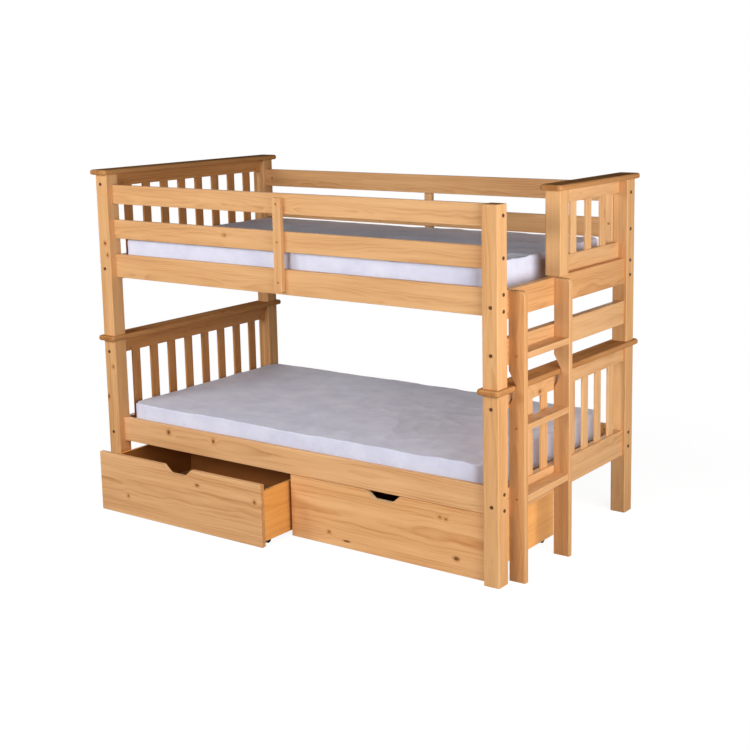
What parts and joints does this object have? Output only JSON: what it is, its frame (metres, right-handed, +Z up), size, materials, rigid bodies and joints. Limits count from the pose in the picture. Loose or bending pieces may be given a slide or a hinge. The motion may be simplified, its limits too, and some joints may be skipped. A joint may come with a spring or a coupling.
{
  "type": "bunk bed",
  "caption": "Low bunk bed of pine boards with slatted ends, guard rails, a fixed end ladder, mattresses and rolling drawers under the lower bunk.",
  "frame": {"origin": "on the floor, under the middle of the box round everything as it stands", "axes": "+X along the bed to the ladder end, +Y to the rear, +Z up"},
  "size_m": [2.11, 1.267, 1.474],
  "materials": {
    "pine": "satin lacquer over honey-coloured pine",
    "drawer_pine": "satin lacquer over glued pine board",
    "slat_pine": "planed, unlacquered",
    "plywood": "thin plywood, sanded",
    "mattress_cover": "woven ticking, pale lilac white",
    "bronzed_metal": "dark bronzed bolt and screw heads",
    "bright_steel": "zinc-plated steel",
    "black_plastic": "moulded black plastic"
  },
  "bodies": {
    "bed": {"barrel_nuts": "bright_steel", "bunk_pins": "bright_steel", "end_panel_bottom_rail": "pine", "end_panel_slats": "pine", "end_panel_top_rail": "pine", "guard_rail_front_bottom": "pine", "guard_rail_front_top": "pine", "guard_rail_rear_bottom": "pine", "guard_rail_rear_top": "pine", "guard_straps": "pine", "ladder_rungs": "pine", "ladder_stile_front": "pine", "ladder_stile_rear": "pine", "lower_bed_slats": "slat_pine", "lower_cap_left": "pine", "lower_cap_right": "pine", "lower_footboard_bottom_rail": "pine", "lower_footboard_slats": "pine", "lower_footboard_top_rail": "pine", "lower_headboard_bottom_rail": "pine", "lower_headboard_slats": "pine", "lower_headboard_top_rail": "pine", "lower_mattress": "mattress_cover", "lower_post_front_left": "pine", "lower_post_front_right": "pine", "lower_post_rear_left": "pine", "lower_post_rear_right": "pine", "lower_side_rail_front": "pine", "lower_side_rail_rear": "pine", "rail_bolts": "bronzed_metal", "slat_cleats": "slat_pine", "upper_bed_slats": "slat_pine", "upper_bridge_rail": "pine", "upper_cap_left": "pine", "upper_cap_right": "pine", "upper_end_rail": "pine", "upper_headboard_bottom_rail": "pine", "upper_headboard_slats": "pine", "upper_headboard_top_rail": "pine", "upper_mattress": "mattress_cover", "upper_post_front_left": "pine", "upper_post_front_right": "pine", "upper_post_middle": "pine", "upper_post_rear_left": "pine", "upper_post_rear_right": "pine", "upper_side_rail_front": "pine", "upper_side_rail_rear": "pine", "wood_screws": "bronzed_metal"},
    "drawer_left": {"drawer_left_front": "drawer_pine", "drawer_left_box_panels": "drawer_pine", "drawer_left_bottom": "plywood", "drawer_left_axles": "bright_steel"},
    "drawer_left_front_wheels": {"drawer_left_front_wheels": "black_plastic"},
    "drawer_left_rear_wheels": {"drawer_left_rear_wheels": "black_plastic"},
    "drawer_right": {"drawer_right_front": "drawer_pine", "drawer_right_box_panels": "drawer_pine", "drawer_right_bottom": "plywood", "drawer_right_axles": "bright_steel"},
    "drawer_right_front_wheels": {"drawer_right_front_wheels": "black_plastic"},
    "drawer_right_rear_wheels": {"drawer_right_rear_wheels": "black_plastic"}
  },
  "joints": [
    {"name": "drawer_left_slide", "type": "slide", "parent": "bed", "child": "drawer_left", "axis": [0, -1, 0], "range_m": [-0.18, 0.36]},
    {"name": "drawer_right_slide", "type": "slide", "parent": "bed", "child": "drawer_right", "axis": [0, -1, 0], "range_m": [0, 0.54]},
    {"name": "drawer_left_front_wheels_turn", "type": "hinge", "parent": "drawer_left", "child": "drawer_left_front_wheels", "pos_m": [-0.473, -0.5635, 0.016], "axis": [1, 0, 0], "continuous": true},
    {"name": "drawer_left_rear_wheels_turn", "type": "hinge", "parent": "drawer_left", "child": "drawer_left_rear_wheels", "pos_m": [-0.473, -0.1485, 0.016], "axis": [1, 0, 0], "continuous": true},
    {"name": "drawer_right_front_wheels_turn", "type": "hinge", "parent": "drawer_right", "child": "drawer_right_front_wheels", "pos_m": [0.457, -0.3835, 0.016], "axis": [1, 0, 0], "continuous": true},
    {"name": "drawer_right_rear_wheels_turn", "type": "hinge", "parent": "drawer_right", "child": "drawer_right_rear_wheels", "pos_m": [0.457, 0.0315, 0.016], "axis": [1, 0, 0], "continuous": true}
  ],
  "couplings": [
    {"joint": "drawer_left_front_wheels_turn", "follows": "drawer_left_slide", "rad_per_m": 62.5},
    {"joint": "drawer_left_rear_wheels_turn", "follows": "drawer_left_slide", "rad_per_m": 62.5},
    {"joint": "drawer_right_front_wheels_turn", "follows": "drawer_right_slide", "rad_per_m": 62.5},
    {"joint": "drawer_right_rear_wheels_turn", "follows": "drawer_right_slide", "rad_per_m": 62.5}
  ]
}
